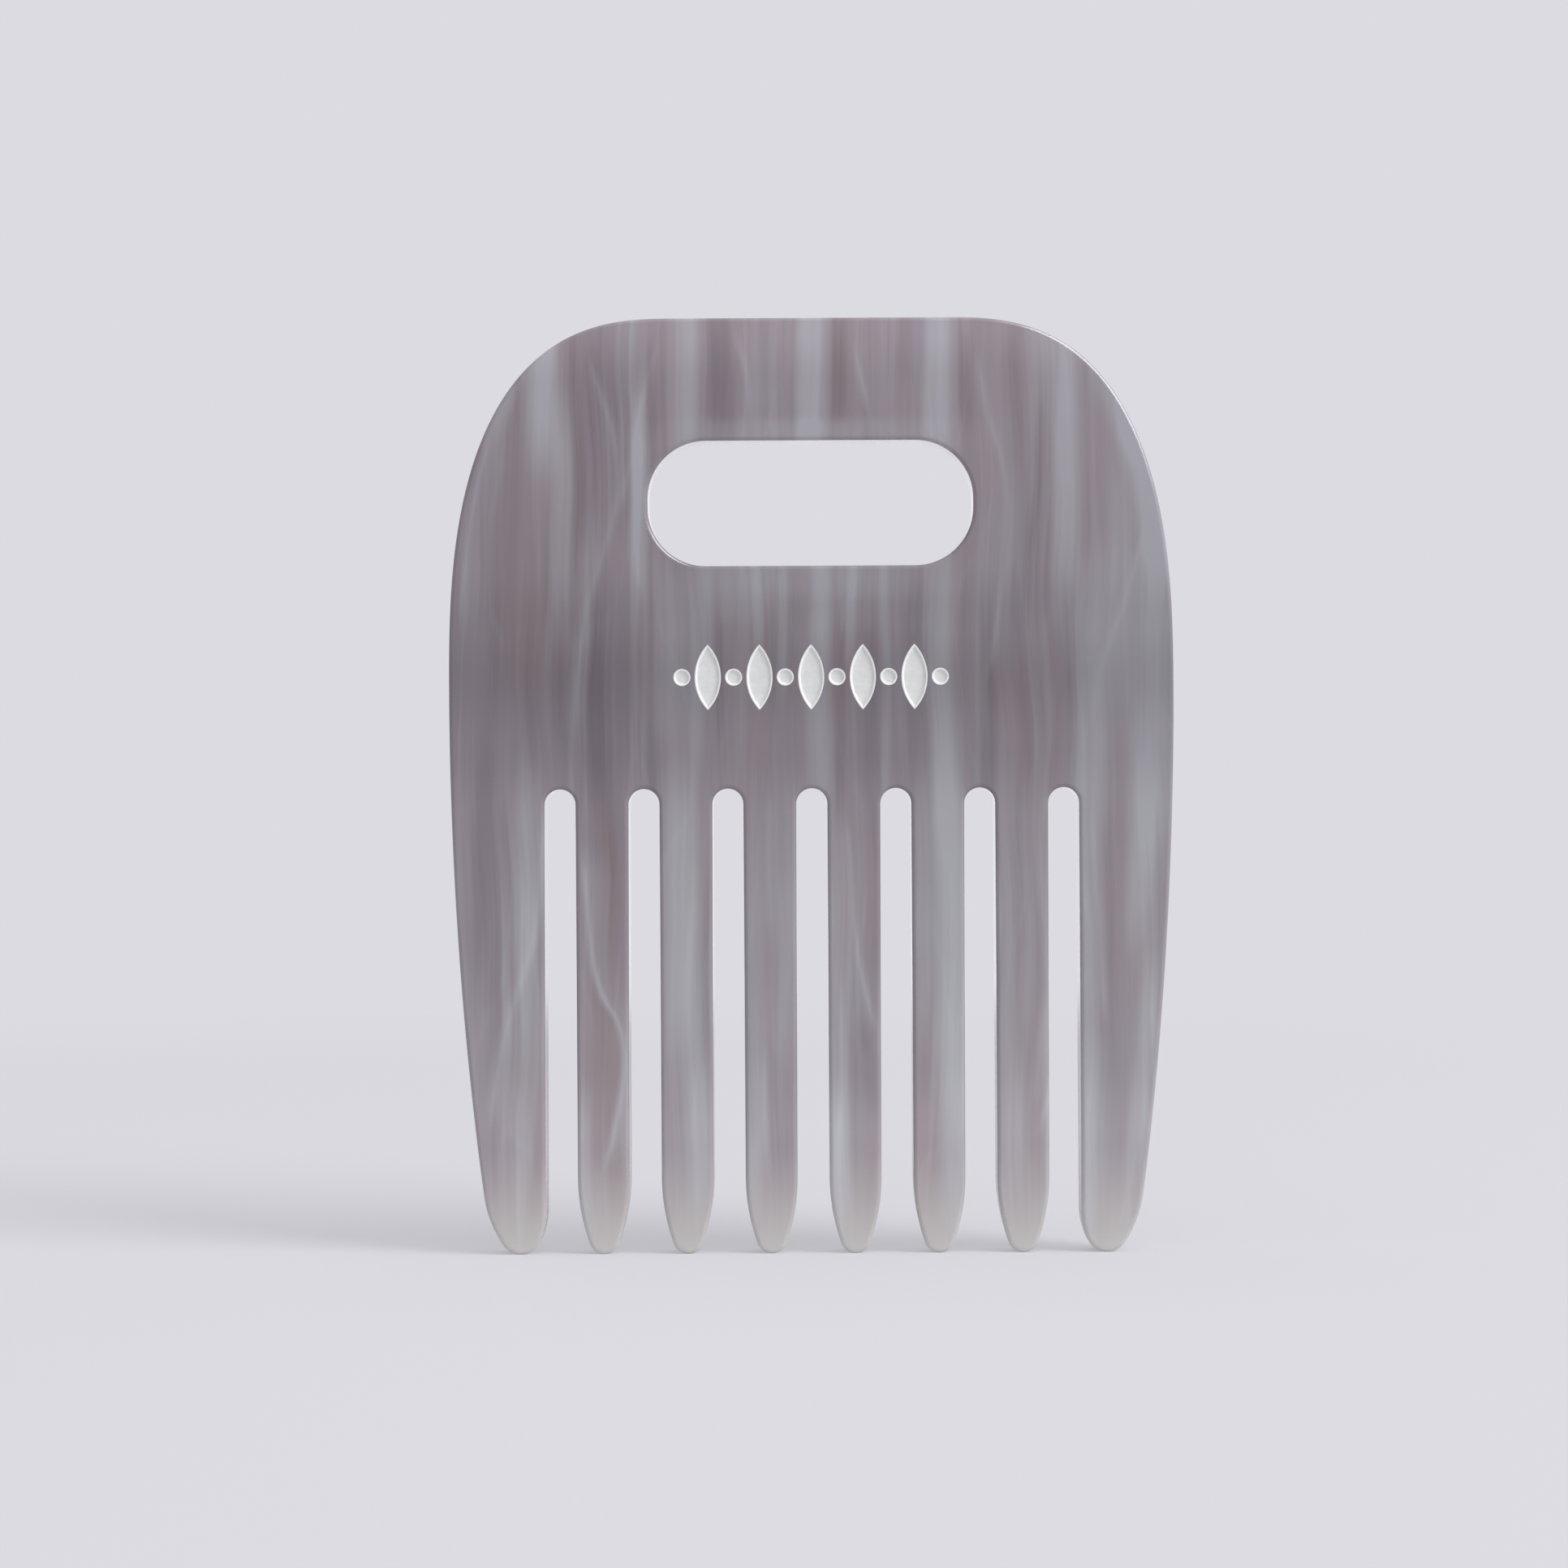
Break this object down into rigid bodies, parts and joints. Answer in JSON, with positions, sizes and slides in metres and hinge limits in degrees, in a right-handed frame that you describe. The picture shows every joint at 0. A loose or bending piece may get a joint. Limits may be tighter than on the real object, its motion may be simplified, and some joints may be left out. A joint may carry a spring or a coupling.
{
  "type": "scalp massage comb",
  "caption": "Flat palm-sized comb of marbled acetate with long round-tipped teeth, a round-ended finger slot and an inlaid white leaf-and-bead band.",
  "frame": {"origin": "under the middle of the comb, at the level of its tooth tips", "axes": "+Z from the tooth tips up to the top edge, +X across the row of teeth, +Y through the sheet from the front face with its inlaid band to the plain rear face"},
  "size_m": [0.08, 0.005, 0.1033],
  "materials": {
    "acetate": "tumbled and polished, mauve-grey with upright pale streaks",
    "enamel": "white enamel laid in the engraving, satin"
  },
  "bodies": {
    "root": {"comb_plate": "acetate", "enamel_leaf_1": "enamel", "enamel_leaf_2": "enamel", "enamel_leaf_3": "enamel", "enamel_leaf_4": "enamel", "enamel_leaf_5": "enamel", "enamel_bead_1": "enamel", "enamel_bead_2": "enamel", "enamel_bead_3": "enamel", "enamel_bead_4": "enamel", "enamel_bead_5": "enamel", "enamel_bead_6": "enamel"}
  },
  "joints": []
}
